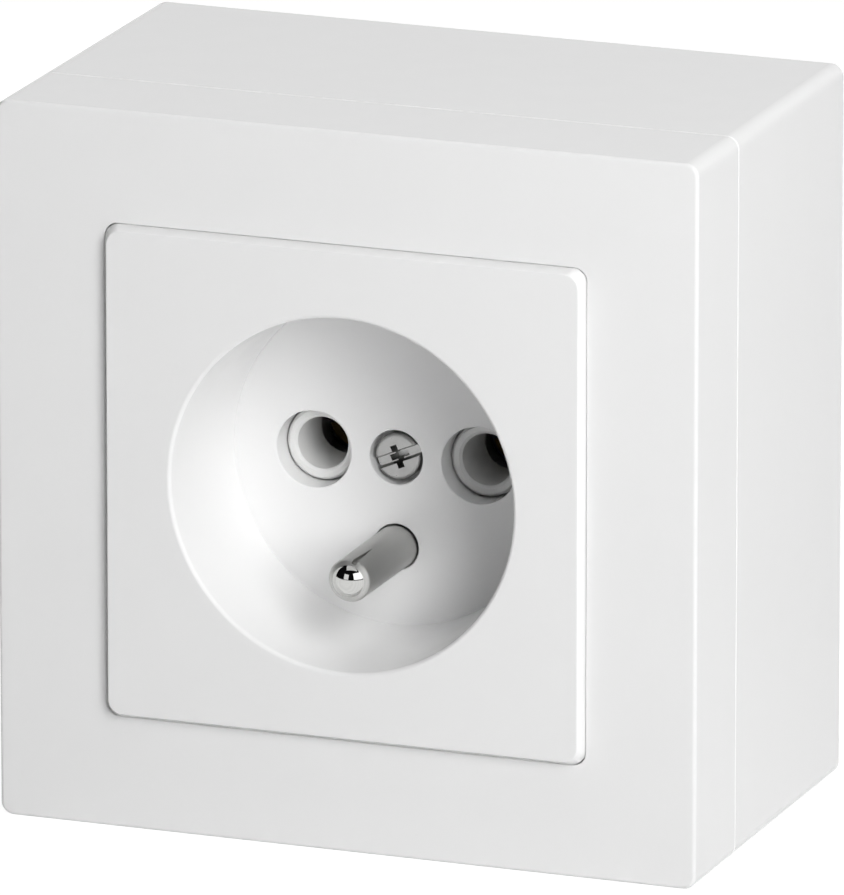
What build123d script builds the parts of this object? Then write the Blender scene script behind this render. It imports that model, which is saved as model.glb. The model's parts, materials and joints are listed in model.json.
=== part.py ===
from build123d import *
from math import cos, radians, sin, sqrt
import os

os.makedirs("parts", exist_ok=True)

# Surface-mounted single socket outlet with a round recess, two contact holes and an earth pin.
# Frame: X to the right, Y into the wall, Z up, in millimetres.
# The wall is the plane Y = 0 and the front faces -Y. A "height" is a distance above the wall.

# Outside shape
side_border = 12.5
top_border = 12.5
frame_depth = 12.7
corner_radius = 1.45
front_edge_radius = 0.4
seam_chamfer = 0.15
inner_corner = 1.0

# Walls of the rear box and of the cover frame, and the space behind the mechanism
box_wall = 2.2
back_wall = 2.0
rear_space = 4.5
frame_face = 2.2
tongue_height = 1.2
tongue_thickness = 1.1
tongue_play = 0.15

# Central plate and the opening of the frame round it
plate_size = 54.88
plate_gap = 0.06
plate_proud = 1.1
plate_corner = 1.4
plate_edge_radius = 0.75
plate_face = 2.0
plate_skirt_wall = 1.8
opening_chamfer = 0.1
ledge_drop = 2.7
ledge_thickness = 2.0
ledge_width = 3.0
skirt_wall = 2.0
skirt_window = 15.0

# Recess for the plug
recess_radius = 20.0
recess_depth = 16.6
recess_draft = 0.9
rim_radius = 0.45
recess_shell = 1.5
floor_thickness = 2.0

# Contact holes and their insulating sleeves
pole_spacing = 19.0
pole_hole_radius = 4.3
sleeve_outer_radius = 4.075
sleeve_bore_radius = 2.925
sleeve_set_back = 2.5
sleeve_mouth_chamfer = 0.3
sleeve_bore_length = 7.3
collar_wall = 1.2
collar_length = 1.3

# Earth pin
pin_drop = 10.0
pin_radius = 2.4
pin_reach = 15.3
pin_taper_length = 1.15
pin_cap_radius = 1.65
pin_cap_height = 0.5
taper_middle_along = 0.55
taper_middle_out = 0.68
pin_neck_radius = 2.1
pin_neck_rise = 0.1
pin_collar_radius = 3.2
pin_collar_height = 1.0
pin_hole_radius = 2.55
pin_fit = 0.05
pin_spigot_radius = 1.8
pin_rivet_radius = 2.7
pin_rivet_height = 0.8
slit_angle = 72.5
slit_length = 4.8
slit_width = 0.65
slit_depth = 0.45
slit_run_out = 0.9
nick_angle = 66.0
nick_size = 0.35
nick_set_out = 0.4

# Cover screw
screw_head_radius = 2.6
screw_head_height = 2.2
screw_head_bevel = 0.3
screw_hole_radius = 3.05
screw_sink = 0.4
screw_shank_radius = 1.5
screw_clearance = 0.2
screw_tip = 1.3
screw_tip_bevel = 0.4
screw_turn = 23.0
screw_slot_width = 1.0
screw_slot_depth = 0.9
screw_cross_length = 3.0
screw_cross_width = 0.8
screw_cross_depth = 1.5
screw_cross_taper = 8.0
hidden_slot_turn = 35.0
screw_boss_wall = 1.55
nut_size = 5.5
nut_thickness = 1.8
nut_rise = 3.0
nut_play = 0.15
thread_play = 0.05

# Support plate and its screws
support_play = 2.3
support_corner = 6.0
support_thickness = 1.0
support_spacing = 60.0
support_slot_width = 3.8
support_slot_length = 7.6
support_screw_radius = 1.6
support_screw_length = 14.0
support_head_radius = 3.0
support_head_height = 1.8
support_driver_width = 1.0
support_driver_depth = 0.9
pilot_spare = 2.0
boss_radius = 3.6
rib_thickness = 1.6

# Insulating carrier of the contacts
cup_play = 0.6
cup_wall = 1.5
cup_floor_drop = 0.7
cup_floor = 2.0
carrier_flange = 1.5
carrier_flange_margin = 4.5
carrier_flange_corner = 5.0
register_height = 0.8
register_play = 0.2
rivet_ring = 5.4
rivet_shank_radius = 1.6
rivet_head_radius = 2.6
rivet_head_height = 0.6

# Chambers of the carrier
chamber_wall = 1.6
jaw_chamber_half = 4.8
jaw_chamber_top = 5.2
terminal_chamber_half = 3.9
earth_chamber_half = 4.6
earth_chamber_rise = 1.3

# Brass contacts and terminals
strip = 0.8
strip_play = 0.3
strip_margin = 0.7
strip_bite = 0.1
jaw_bore_radius = 2.3
jaw_rise = 2.6
jaw_length = 6.2
jaw_gap = 1.4
jaw_play = 3.2
jaw_slot_rise = 0.2
spring_thickness = 0.5
spring_height = 2.0
spring_fit = 0.03
spring_mouth = 60.0
tab_width = 6.0
tab_rise = 5.0
terminal_inset = 9.5
earth_terminal_inset = 4.8
terminal_screw_radius = 1.75
terminal_head_radius = 2.8
terminal_head_height = 1.8
terminal_screw_length = 6.0
terminal_slot_width = 0.9
terminal_slot_depth = 0.9
clamp_width = 6.2
clamp_length = 5.6
clamp_thickness = 1.0
clamp_bevel = 0.25
wire_gap = 2.0

# Rear cover of the carrier
rear_thickness = 2.5
access_radius = 3.2
stop_radius = 2.6
stop_play = 0.2
rear_screw_x = 13.6
rear_screw_drop = 12.6
rear_screw_radius = 1.2
rear_screw_length = 9.0
rear_head_radius = 2.1
rear_head_height = 1.2
rear_driver_width = 0.7
rear_driver_depth = 0.6
rear_boss_radius = 2.9

# Wall fixing and cable entries
wall_hole_spacing = 56.0
wall_hole_radius = 2.3
entry_radius = 10.0
entry_skin = 0.9
entry_height = 17.0
back_entry_radius = 12.5

# Length by which one solid of a moulding reaches into the next, so that they become one
overlap = 1.0

# Values that follow from the ones above
opening_size = plate_size + 2 * plate_gap
opening_corner = plate_corner + plate_gap
outer_width = opening_size + 2 * side_border
outer_height = opening_size + 2 * top_border
rear_back = back_wall + rear_space
carrier_back = rear_back + rear_thickness
jaw_foot = carrier_back + jaw_rise
jaw_front = jaw_foot + jaw_length
sleeve_back = jaw_front + jaw_play
sleeve_front = sleeve_back + sleeve_bore_length
floor_front = sleeve_front + sleeve_set_back
floor_back = floor_front - floor_thickness
plate_front = floor_front + recess_depth
frame_front = plate_front - plate_proud
box_depth = frame_front - frame_depth
support_back = box_depth - support_thickness
floor_radius = recess_radius - recess_draft
ledge_top = frame_front - ledge_drop
ledge_bottom = ledge_top - ledge_thickness
ledge_opening = opening_size - 2 * ledge_width
skirt_outer = opening_size + 2 * skirt_wall
inner_width = outer_width - 2 * box_wall
inner_height = outer_height - 2 * box_wall
pole_x = pole_spacing / 2
support_x = support_spacing / 2
collar_radius = pole_hole_radius + collar_wall
collar_end = floor_back - collar_length
cup_front = collar_end - cup_floor_drop
cup_back = cup_front - cup_floor
cup_radius = recess_radius + recess_shell + cup_play
drum_radius = cup_radius + cup_wall
chamber_radius = drum_radius - chamber_wall
support_width = inner_width - 2 * support_play
support_height = inner_height - 2 * support_play
support_opening = drum_radius + register_play
screw_face = floor_front - screw_sink
screw_seat = screw_face - screw_head_height
screw_boss_radius = screw_hole_radius + screw_boss_wall
nut_height = carrier_back + nut_rise
screw_length = screw_seat - nut_height + screw_tip
tab_height = carrier_back + tab_rise
tab_front = tab_height + strip
clamp_front = tab_height - wire_gap
clamp_back = clamp_front - clamp_thickness
jaw_outer_radius = jaw_bore_radius + strip
jaw_ring_front = tab_front + jaw_slot_rise
terminal_offset = chamber_radius - terminal_inset
earth_terminal_offset = chamber_radius - earth_terminal_inset
earth_leg_drop = chamber_radius - strip_play
rivet_position = (drum_radius + rivet_ring) / sqrt(2)
carrier_flange_size = 2 * (rivet_position + carrier_flange_margin)


def level(height):
    """Sketch plane at a height above the wall: local x is X, local y is Z, and it faces the room."""
    return Plane.XZ.offset(height)


def slotted_screw(centre, seat, toward_room, shank, length, head, head_height, slot, slot_depth):
    """A plain screw along Y: its shank points to the room or to the wall, and its head the other way."""
    way = 1 if toward_room else -1
    top = seat - way * head_height
    with BuildPart() as screw:
        with BuildSketch(level(seat)):
            with Locations(centre):
                Circle(shank)
        extrude(amount=way * length)
        with BuildSketch(level(seat)):
            with Locations(centre):
                Circle(head)
        extrude(amount=-way * head_height)
        with BuildSketch(level(top)):
            with Locations(centre):
                Rectangle(2 * head + overlap, slot, rotation=hidden_slot_turn)
        extrude(amount=way * slot_depth, mode=Mode.SUBTRACT)
    return screw.part


# Rear box: one moulding with a back wall, four side walls, two screw bosses and thinned cable entries.
with BuildPart() as surface_box:
    with BuildSketch(level(0)):
        RectangleRounded(outer_width, outer_height, corner_radius)
    extrude(amount=box_depth)
    chamfer(surface_box.faces().sort_by(Axis.Y)[0].edges(), seam_chamfer)
    with BuildSketch(level(back_wall)):
        RectangleRounded(inner_width, inner_height, inner_corner)
    extrude(amount=box_depth, mode=Mode.SUBTRACT)
    # The tongue that the cover frame slips over.
    with BuildSketch(level(box_depth - overlap)):
        RectangleRounded(
            inner_width + 2 * tongue_thickness, inner_height + 2 * tongue_thickness, inner_corner
        )
        RectangleRounded(inner_width, inner_height, inner_corner, mode=Mode.SUBTRACT)
    extrude(amount=overlap + tongue_height)
    # Bosses that carry the support plate, each tied to its side wall by a rib.
    with BuildSketch(level(back_wall - overlap)):
        with Locations((support_x, 0), (-support_x, 0)):
            Circle(boss_radius)
        rib_length = inner_width / 2 - support_x + overlap
        for side in (1, -1):
            with Locations((side * (support_x + rib_length / 2), 0)):
                Rectangle(rib_length, rib_thickness)
    extrude(amount=support_back - back_wall + overlap)
    with BuildSketch(level(support_back)):
        with Locations((support_x, 0), (-support_x, 0)):
            Circle(support_screw_radius + thread_play)
    extrude(amount=-support_screw_length - pilot_spare, mode=Mode.SUBTRACT)
    # Holes for the wall screws.
    with BuildSketch(level(0)):
        with GridLocations(wall_hole_spacing, wall_hole_spacing, 2, 2):
            Circle(wall_hole_radius)
    extrude(amount=back_wall, mode=Mode.SUBTRACT)
    # Cable entries: the walls are thinned from the inside, so that the outside stays plain.
    with BuildSketch(level(back_wall)):
        Circle(back_entry_radius)
    extrude(amount=entry_skin - back_wall, mode=Mode.SUBTRACT)
    for side in (1, -1):
        with BuildSketch(Plane.XY.offset(side * (inner_height / 2 - overlap))):
            with Locations((0, -entry_height)):
                Circle(entry_radius)
        extrude(amount=side * (overlap + box_wall - entry_skin), mode=Mode.SUBTRACT)
surface_box.part.label = "surface_box"
export_step(surface_box.part, "parts/surface_box.step")

# Cover frame: the front shell with a square opening, a ledge for the central plate and an inner skirt.
with BuildPart() as cover_frame:
    with BuildSketch(level(box_depth)):
        RectangleRounded(outer_width, outer_height, corner_radius)
    extrude(amount=frame_depth)
    fillet(cover_frame.faces().sort_by(Axis.Y)[0].edges(), front_edge_radius)
    chamfer(cover_frame.faces().sort_by(Axis.Y)[-1].edges(), seam_chamfer)
    with BuildSketch(level(box_depth)):
        RectangleRounded(inner_width, inner_height, inner_corner)
        RectangleRounded(skirt_outer, skirt_outer, opening_corner, mode=Mode.SUBTRACT)
    extrude(amount=frame_depth - frame_face, mode=Mode.SUBTRACT)
    # Rebate over the tongue of the box.
    with BuildSketch(level(box_depth)):
        RectangleRounded(
            inner_width + 2 * (tongue_thickness + tongue_play),
            inner_height + 2 * (tongue_thickness + tongue_play),
            inner_corner,
        )
        Rectangle(inner_width - 2 * overlap, inner_height - 2 * overlap, mode=Mode.SUBTRACT)
    extrude(amount=tongue_height + tongue_play, mode=Mode.SUBTRACT)
    # Seat of the central plate, the way through it and the inside of the skirt.
    with BuildSketch(level(ledge_top)):
        RectangleRounded(opening_size, opening_size, opening_corner)
    extrude(amount=ledge_drop, mode=Mode.SUBTRACT)
    with BuildSketch(level(box_depth)):
        RectangleRounded(ledge_opening, ledge_opening, opening_corner)
    extrude(amount=frame_depth, mode=Mode.SUBTRACT)
    with BuildSketch(level(box_depth)):
        RectangleRounded(opening_size, opening_size, opening_corner)
    extrude(amount=ledge_bottom - box_depth, mode=Mode.SUBTRACT)
    # Windows in the skirt, clear of the heads of the support screws.
    with BuildSketch(level(box_depth)):
        Rectangle(skirt_outer + overlap, skirt_window)
        Rectangle(skirt_window, skirt_outer + overlap)
    extrude(amount=ledge_bottom - box_depth, mode=Mode.SUBTRACT)
    front_face = cover_frame.faces().sort_by(Axis.Y)[0]
    chamfer(front_face.inner_wires()[0].edges(), opening_chamfer)
cover_frame.part.label = "cover_frame"
export_step(cover_frame.part, "parts/cover_frame.step")

# Central plate with the drafted plug recess: the wall, its rounded rim and the pierced floor are one shell.
with BuildPart() as cover_plate:
    with BuildSketch(level(ledge_top)):
        RectangleRounded(plate_size, plate_size, plate_corner)
    extrude(amount=plate_front - ledge_top)
    fillet(cover_plate.faces().sort_by(Axis.Y)[0].edges(), plate_edge_radius)
    with BuildSketch(level(ledge_top)):
        RectangleRounded(
            plate_size - 2 * plate_skirt_wall, plate_size - 2 * plate_skirt_wall, plate_corner / 2
        )
    extrude(amount=plate_front - plate_face - ledge_top, mode=Mode.SUBTRACT)
    # Outside of the recess shell, turned about the axis of the recess.
    with BuildSketch(Plane.XY):
        with BuildLine():
            Polyline(
                (0, -floor_back),
                (floor_radius + recess_shell, -floor_back),
                (recess_radius + recess_shell, -plate_front + plate_face / 2),
                (0, -plate_front + plate_face / 2),
                close=True,
            )
        make_face()
    revolve(axis=Axis.Y)
    # Collars round the contact holes and the boss under the cover screw.
    with BuildSketch(level(floor_back + floor_thickness / 2)):
        with Locations((pole_x, 0), (-pole_x, 0)):
            Circle(collar_radius)
        Circle(screw_boss_radius)
    extrude(amount=-floor_thickness / 2 - collar_length)
    # Inside of the recess.
    with BuildSketch(Plane.XY):
        with BuildLine():
            Polyline(
                (0, -floor_front),
                (floor_radius, -floor_front),
                (recess_radius, -plate_front),
                (0, -plate_front),
                close=True,
            )
        make_face()
    revolve(axis=Axis.Y, mode=Mode.SUBTRACT)
    rim = cover_plate.edges().filter_by(GeomType.CIRCLE).group_by(Axis.Y)[0]
    fillet(rim.filter_by(lambda e: e.radius > recess_radius - 0.1), rim_radius)
    with BuildSketch(level(floor_front)):
        with Locations((pole_x, 0), (-pole_x, 0)):
            Circle(pole_hole_radius)
        with Locations((0, -pin_drop)):
            Circle(pin_hole_radius)
        Circle(screw_shank_radius + screw_clearance)
    extrude(amount=-floor_thickness - collar_length, mode=Mode.SUBTRACT)
    with BuildSketch(level(screw_seat)):
        Circle(screw_hole_radius)
    extrude(amount=floor_front - screw_seat, mode=Mode.SUBTRACT)
cover_plate.part.label = "cover_plate"
export_step(cover_plate.part, "parts/cover_plate.step")

# Cover screw: a bevelled flat head with a slot and a cross in line with it.
with BuildPart() as cover_screw:
    with BuildSketch(level(screw_seat)):
        Circle(screw_head_radius)
    extrude(amount=screw_head_height)
    chamfer(cover_screw.faces().sort_by(Axis.Y)[0].edges(), screw_head_bevel)
    with BuildSketch(level(screw_seat)):
        Circle(screw_shank_radius)
    extrude(amount=-screw_length)
    chamfer(cover_screw.faces().sort_by(Axis.Y)[-1].edges(), screw_tip_bevel)
    with BuildSketch(level(screw_face)):
        Rectangle(2 * screw_head_radius + overlap, screw_slot_width, rotation=screw_turn)
    extrude(amount=-screw_slot_depth, mode=Mode.SUBTRACT)
    with BuildSketch(level(screw_face)):
        Rectangle(screw_cross_length, screw_cross_width, rotation=screw_turn)
        Rectangle(screw_cross_width, screw_cross_length, rotation=screw_turn)
    extrude(amount=-screw_cross_depth, taper=screw_cross_taper, mode=Mode.SUBTRACT)
cover_screw.part.label = "cover_screw"
export_step(cover_screw.part, "parts/cover_screw.step")

# Square nut in the carrier, drawn toward the room by the cover screw.
with BuildPart() as cover_nut:
    with BuildSketch(level(nut_height)):
        Rectangle(nut_size, nut_size)
        Circle(screw_shank_radius + thread_play, mode=Mode.SUBTRACT)
    extrude(amount=nut_thickness)
cover_nut.part.label = "cover_nut"
export_step(cover_nut.part, "parts/cover_nut.step")

# Support plate: pressed steel, screwed to the bosses of the box, with the carrier riveted behind it.
with BuildPart() as support_plate:
    with BuildSketch(level(support_back)):
        RectangleRounded(support_width, support_height, support_corner)
        Circle(support_opening, mode=Mode.SUBTRACT)
        with Locations((support_x, 0), (-support_x, 0)):
            SlotOverall(support_slot_length, support_slot_width, rotation=90, mode=Mode.SUBTRACT)
        with Locations((0, support_x), (0, -support_x)):
            SlotOverall(support_slot_length, support_slot_width, mode=Mode.SUBTRACT)
        with GridLocations(2 * rivet_position, 2 * rivet_position, 2, 2):
            Circle(rivet_shank_radius + register_play, mode=Mode.SUBTRACT)
    extrude(amount=support_thickness)
support_plate.part.label = "support_plate"
export_step(support_plate.part, "parts/support_plate.step")

support_screws = Compound(
    children=[
        slotted_screw(
            (side * support_x, 0), box_depth, False, support_screw_radius,
            support_screw_length, support_head_radius, support_head_height,
            support_driver_width, support_driver_depth,
        )
        for side in (-1, 1)
    ]
)
support_screws.label = "support_screws"
export_step(support_screws, "parts/support_screws.step")

# Carrier: one insulating moulding with a cup for the recess, two sleeves and the chambers of the contacts.
with BuildPart() as carrier:
    with BuildSketch(level(carrier_back)):
        Circle(drum_radius)
    extrude(amount=support_back - carrier_back)
    with BuildSketch(level(support_back - carrier_flange)):
        RectangleRounded(carrier_flange_size, carrier_flange_size, carrier_flange_corner)
        with Locations((support_x, 0), (-support_x, 0)):
            Circle(boss_radius + register_play, mode=Mode.SUBTRACT)
    extrude(amount=carrier_flange)
    with BuildSketch(level(support_back)):
        Circle(drum_radius)
    extrude(amount=register_height)
    with BuildSketch(level(cup_front)):
        Circle(cup_radius)
    extrude(amount=frame_depth, mode=Mode.SUBTRACT)
    # Chambers open toward the wall: jaws at the sides, terminals above, earth below.
    with BuildSketch(level(carrier_back)):
        for side in (1, -1):
            with Locations((side * pole_x, (jaw_chamber_top - jaw_chamber_half) / 2)):
                Rectangle(2 * jaw_chamber_half, jaw_chamber_top + jaw_chamber_half)
        with Locations((0, -pin_drop + pin_rivet_radius + earth_chamber_rise)):
            Rectangle(2 * earth_chamber_half, drum_radius, align=(Align.CENTER, Align.MAX))
        Circle(chamber_radius, mode=Mode.INTERSECT)
    extrude(amount=cup_back - carrier_back, mode=Mode.SUBTRACT)
    with BuildSketch(level(carrier_back)):
        for side in (1, -1):
            with Locations((side * pole_x, jaw_chamber_top)):
                Rectangle(
                    2 * terminal_chamber_half, drum_radius, align=(Align.CENTER, Align.MIN)
                )
        Circle(chamber_radius, mode=Mode.INTERSECT)
    extrude(amount=tab_front - carrier_back, mode=Mode.SUBTRACT)
    # Room for the tips of the terminal screws, and slots for the wires through the wall of the drum.
    with BuildSketch(level(tab_front)):
        with Locations((pole_x, terminal_offset), (-pole_x, terminal_offset)):
            Circle(terminal_screw_radius + screw_clearance)
    extrude(amount=terminal_screw_length - strip - wire_gap, mode=Mode.SUBTRACT)
    with BuildSketch(level(carrier_back)):
        for side in (1, -1):
            with Locations((side * pole_x, terminal_offset + clamp_length / 2)):
                Rectangle(tab_width, drum_radius, align=(Align.CENTER, Align.MIN))
        with Locations((0, -earth_terminal_offset - clamp_length / 2)):
            Rectangle(tab_width, drum_radius, align=(Align.CENTER, Align.MAX))
    extrude(amount=tab_height - carrier_back, mode=Mode.SUBTRACT)
    # Cored-out corners either side of the earth chamber, each with a boss for a rear screw.
    with BuildSketch(level(carrier_back)):
        core_inner = earth_chamber_half + chamber_wall
        core_top = jaw_chamber_half + chamber_wall
        for side in (1, -1):
            with Locations((side * core_inner, -core_top)):
                Rectangle(
                    drum_radius,
                    drum_radius,
                    align=(Align.MIN if side > 0 else Align.MAX, Align.MAX),
                )
        Circle(chamber_radius, mode=Mode.INTERSECT)
        with Locations((rear_screw_x, -rear_screw_drop), (-rear_screw_x, -rear_screw_drop)):
            Circle(rear_boss_radius, mode=Mode.SUBTRACT)
    extrude(amount=cup_back - carrier_back, mode=Mode.SUBTRACT)
    # Core between the two upper terminals, from which the square nut slides in.
    with BuildSketch(level(carrier_back)):
        core_half = pole_x - terminal_chamber_half - chamber_wall
        with Locations((0, jaw_chamber_top)):
            Rectangle(2 * core_half, drum_radius, align=(Align.CENTER, Align.MIN))
        Circle(chamber_radius, mode=Mode.INTERSECT)
    extrude(amount=cup_back - carrier_back, mode=Mode.SUBTRACT)
    with BuildSketch(level(nut_height - nut_play)):
        with Locations((0, -nut_size / 2 - nut_play)):
            Rectangle(
                nut_size + 2 * nut_play,
                jaw_chamber_top + nut_size / 2 + nut_play + overlap,
                align=(Align.CENTER, Align.MIN),
            )
    extrude(amount=nut_thickness + nut_play, mode=Mode.SUBTRACT)
    # Sleeves in the contact holes, above and below the floor of the cup.
    with BuildSketch(level(sleeve_back)):
        with Locations((pole_x, 0), (-pole_x, 0)):
            Circle(sleeve_outer_radius)
    extrude(amount=sleeve_bore_length)
    with BuildSketch(level(sleeve_back)):
        with Locations((pole_x, 0), (-pole_x, 0)):
            Circle(sleeve_bore_radius)
    extrude(amount=sleeve_bore_length, mode=Mode.SUBTRACT)
    mouths = carrier.edges().filter_by(GeomType.CIRCLE).filter_by_position(
        Axis.Y, -sleeve_front - 0.01, -sleeve_front + 0.01
    )
    chamfer(mouths.filter_by(lambda e: e.radius < sleeve_outer_radius + 0.01), sleeve_mouth_chamfer)
    # Holes for the cover screw, the earth pin, the rivets and the rear screws.
    with BuildSketch(level(cup_front)):
        Circle(screw_shank_radius + screw_clearance)
    extrude(amount=carrier_back - cup_front, mode=Mode.SUBTRACT)
    with BuildSketch(level(cup_front)):
        with Locations((0, -pin_drop)):
            Circle(pin_neck_radius + pin_fit)
    extrude(amount=-cup_floor, mode=Mode.SUBTRACT)
    with BuildSketch(level(support_back)):
        with GridLocations(2 * rivet_position, 2 * rivet_position, 2, 2):
            Circle(rivet_shank_radius + pin_fit)
    extrude(amount=-carrier_flange, mode=Mode.SUBTRACT)
    with BuildSketch(level(carrier_back)):
        with Locations((rear_screw_x, -rear_screw_drop), (-rear_screw_x, -rear_screw_drop)):
            Circle(rear_screw_radius + thread_play)
    extrude(amount=rear_screw_length, mode=Mode.SUBTRACT)
carrier.part.label = "carrier"
export_step(carrier.part, "parts/carrier.step")

# Rivets that hold the carrier to the support plate.
rivets = []
for x_side in (-1, 1):
    for z_side in (-1, 1):
        with BuildPart() as rivet:
            with BuildSketch(Plane.XY):
                back = -support_back + carrier_flange
                with BuildLine():
                    Polyline(
                        (0, -box_depth - rivet_head_height),
                        (rivet_head_radius, -box_depth - rivet_head_height),
                        (rivet_head_radius, -box_depth),
                        (rivet_shank_radius, -box_depth),
                        (rivet_shank_radius, back),
                        (rivet_head_radius, back),
                        (rivet_head_radius, back + rivet_head_height),
                        (0, back + rivet_head_height),
                        close=True,
                    )
                make_face()
            revolve(axis=Axis.Y)
        rivets.append(Pos(x_side * rivet_position, 0, z_side * rivet_position) * rivet.part)
carrier_rivets = Compound(children=rivets)
carrier_rivets.label = "carrier_rivets"
export_step(carrier_rivets, "parts/carrier_rivets.step")


def pole_contact(side):
    """Turned-up brass contact: a slit tube that grips the plug pin, and a flat tab to its terminal."""
    with BuildPart() as contact:
        with BuildSketch(level(jaw_foot)):
            with Locations((side * pole_x, 0)):
                Circle(jaw_outer_radius)
                Circle(jaw_bore_radius, mode=Mode.SUBTRACT)
        extrude(amount=jaw_front - jaw_foot)
        with BuildSketch(level(jaw_ring_front)):
            with Locations((side * pole_x, 0)):
                Rectangle(2 * jaw_outer_radius + overlap, jaw_gap)
        extrude(amount=jaw_front - jaw_ring_front, mode=Mode.SUBTRACT)
        with BuildSketch(level(tab_height)):
            with Locations((side * pole_x, jaw_bore_radius + strip_bite)):
                Rectangle(
                    tab_width,
                    terminal_offset + clamp_length / 2 - jaw_bore_radius - strip_bite,
                    align=(Align.CENTER, Align.MIN),
                )
            with Locations((side * pole_x, terminal_offset)):
                Circle(terminal_screw_radius + thread_play, mode=Mode.SUBTRACT)
        extrude(amount=strip)
    return contact.part


def contact_spring(side):
    """Steel ring, open on its outer side, that presses the two jaws together."""
    with BuildPart() as spring:
        with BuildSketch(level((jaw_ring_front + jaw_front - spring_height) / 2)):
            with Locations((side * pole_x, 0)):
                Circle(jaw_outer_radius + spring_fit + spring_thickness)
                Circle(jaw_outer_radius + spring_fit, mode=Mode.SUBTRACT)
            with BuildLine():
                reach = 2 * jaw_outer_radius
                half = radians(spring_mouth / 2)
                Polyline(
                    (side * pole_x, 0),
                    (side * (pole_x + reach * cos(half)), reach * sin(half)),
                    (side * (pole_x + reach * cos(half)), -reach * sin(half)),
                    close=True,
                )
            make_face(mode=Mode.SUBTRACT)
        extrude(amount=spring_height)
    return spring.part


def clamp_plate(x, z):
    """Square washer between the head of a terminal screw and the wires."""
    with BuildPart() as clamp:
        with BuildSketch(level(clamp_back)):
            with Locations((x, z)):
                Rectangle(clamp_width, clamp_length)
                Circle(terminal_screw_radius + screw_clearance, mode=Mode.SUBTRACT)
        extrude(amount=clamp_thickness)
        chamfer(clamp.faces().sort_by(Axis.Y)[0].outer_wire().edges(), clamp_bevel)
    return clamp.part


for name, side in (("live", -1), ("neutral", 1)):
    contact = pole_contact(side)
    contact.label = f"{name}_contact"
    export_step(contact, f"parts/{name}_contact.step")
    spring = contact_spring(side)
    spring.label = f"{name}_spring"
    export_step(spring, f"parts/{name}_spring.step")
    clamp = clamp_plate(side * pole_x, terminal_offset)
    clamp.label = f"{name}_clamp"
    export_step(clamp, f"parts/{name}_clamp.step")

# Earth strip: from the foot of the pin out along the floor of the cup, back and in again to its terminal.
with BuildPart() as earth_strip:
    with BuildSketch(level(cup_back)):
        with Locations((0, -earth_leg_drop)):
            Rectangle(
                tab_width,
                earth_leg_drop - pin_drop + pin_rivet_radius + strip_margin,
                align=(Align.CENTER, Align.MIN),
            )
        with Locations((0, -pin_drop)):
            Circle(pin_spigot_radius, mode=Mode.SUBTRACT)
    extrude(amount=-strip)
    with BuildSketch(level(cup_back)):
        with Locations((0, -earth_leg_drop)):
            Rectangle(tab_width, strip, align=(Align.CENTER, Align.MIN))
    extrude(amount=tab_height - cup_back)
    with BuildSketch(level(tab_height)):
        with Locations((0, -earth_leg_drop)):
            Rectangle(
                tab_width,
                earth_leg_drop - earth_terminal_offset + clamp_length / 2,
                align=(Align.CENTER, Align.MIN),
            )
        with Locations((0, -earth_terminal_offset)):
            Circle(terminal_screw_radius + thread_play, mode=Mode.SUBTRACT)
    extrude(amount=strip)
earth_strip.part.label = "earth_strip"
export_step(earth_strip.part, "parts/earth_strip.step")

earth_clamp = clamp_plate(0, -earth_terminal_offset)
earth_clamp.label = "earth_clamp"
export_step(earth_clamp, "parts/earth_clamp.step")

# Earth pin: turned, riveted to its strip behind the cup, with a collar on the cup, a neck through the floor
# of the plate, and a convex taper and a shallow cap at the free end.
pin_tip = floor_front + pin_reach
cap_edge = pin_tip - pin_cap_height
taper_start = cap_edge - pin_taper_length
cap_sphere = (pin_cap_radius**2 + pin_cap_height**2) / (2 * pin_cap_height)
cap_centre = -pin_tip + cap_sphere
with BuildPart() as earth_pin:
    with BuildSketch(Plane.XY):
        with BuildLine():
            Line((0, -pin_tip), (0, -cup_back + strip + pin_rivet_height))
            Polyline(
                (0, -cup_back + strip + pin_rivet_height),
                (pin_rivet_radius, -cup_back + strip + pin_rivet_height),
                (pin_rivet_radius, -cup_back + strip),
                (pin_spigot_radius, -cup_back + strip),
                (pin_spigot_radius, -cup_back),
                (pin_neck_radius, -cup_back),
                (pin_neck_radius, -cup_front),
                (pin_collar_radius, -cup_front),
                (pin_collar_radius, -cup_front - pin_collar_height),
                (pin_neck_radius, -cup_front - pin_collar_height),
                (pin_neck_radius, -floor_front - pin_neck_rise),
                (pin_radius, -floor_front - pin_neck_rise),
                (pin_radius, -taper_start),
            )
            ThreePointArc(
                (pin_radius, -taper_start),
                (
                    pin_cap_radius + taper_middle_out * (pin_radius - pin_cap_radius),
                    -taper_start - taper_middle_along * pin_taper_length,
                ),
                (pin_cap_radius, -cap_edge),
            )
            ThreePointArc(
                (pin_cap_radius, -cap_edge),
                (pin_cap_radius / 2, cap_centre - sqrt(cap_sphere**2 - pin_cap_radius**2 / 4)),
                (0, -pin_tip),
            )
        make_face()
    revolve(axis=Axis.Y)
    # The wedge-shaped slit along the upper side, widest at the taper, and the small nick beside it.
    slit_way = Vector(cos(radians(slit_angle)), 0, sin(radians(slit_angle)))
    with BuildSketch(
        Plane(
            origin=slit_way * (pin_radius + overlap) + Vector(0, -taper_start, 0),
            x_dir=(0, 1, 0),
            z_dir=slit_way,
        )
    ):
        with BuildLine():
            Polyline(
                (-slit_run_out, slit_width / 2),
                (slit_length, 0),
                (-slit_run_out, -slit_width / 2),
                close=True,
            )
        make_face()
    extrude(amount=-slit_depth - overlap, mode=Mode.SUBTRACT)
    nick_way = Vector(cos(radians(nick_angle)), 0, sin(radians(nick_angle)))
    with BuildSketch(
        Plane(
            origin=nick_way * (pin_radius - nick_size) + Vector(0, -taper_start - nick_set_out, 0),
            x_dir=(0, 1, 0),
            z_dir=nick_way,
        )
    ):
        Rectangle(nick_size / 2, nick_size)
    extrude(amount=nick_size + overlap, mode=Mode.SUBTRACT)
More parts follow.
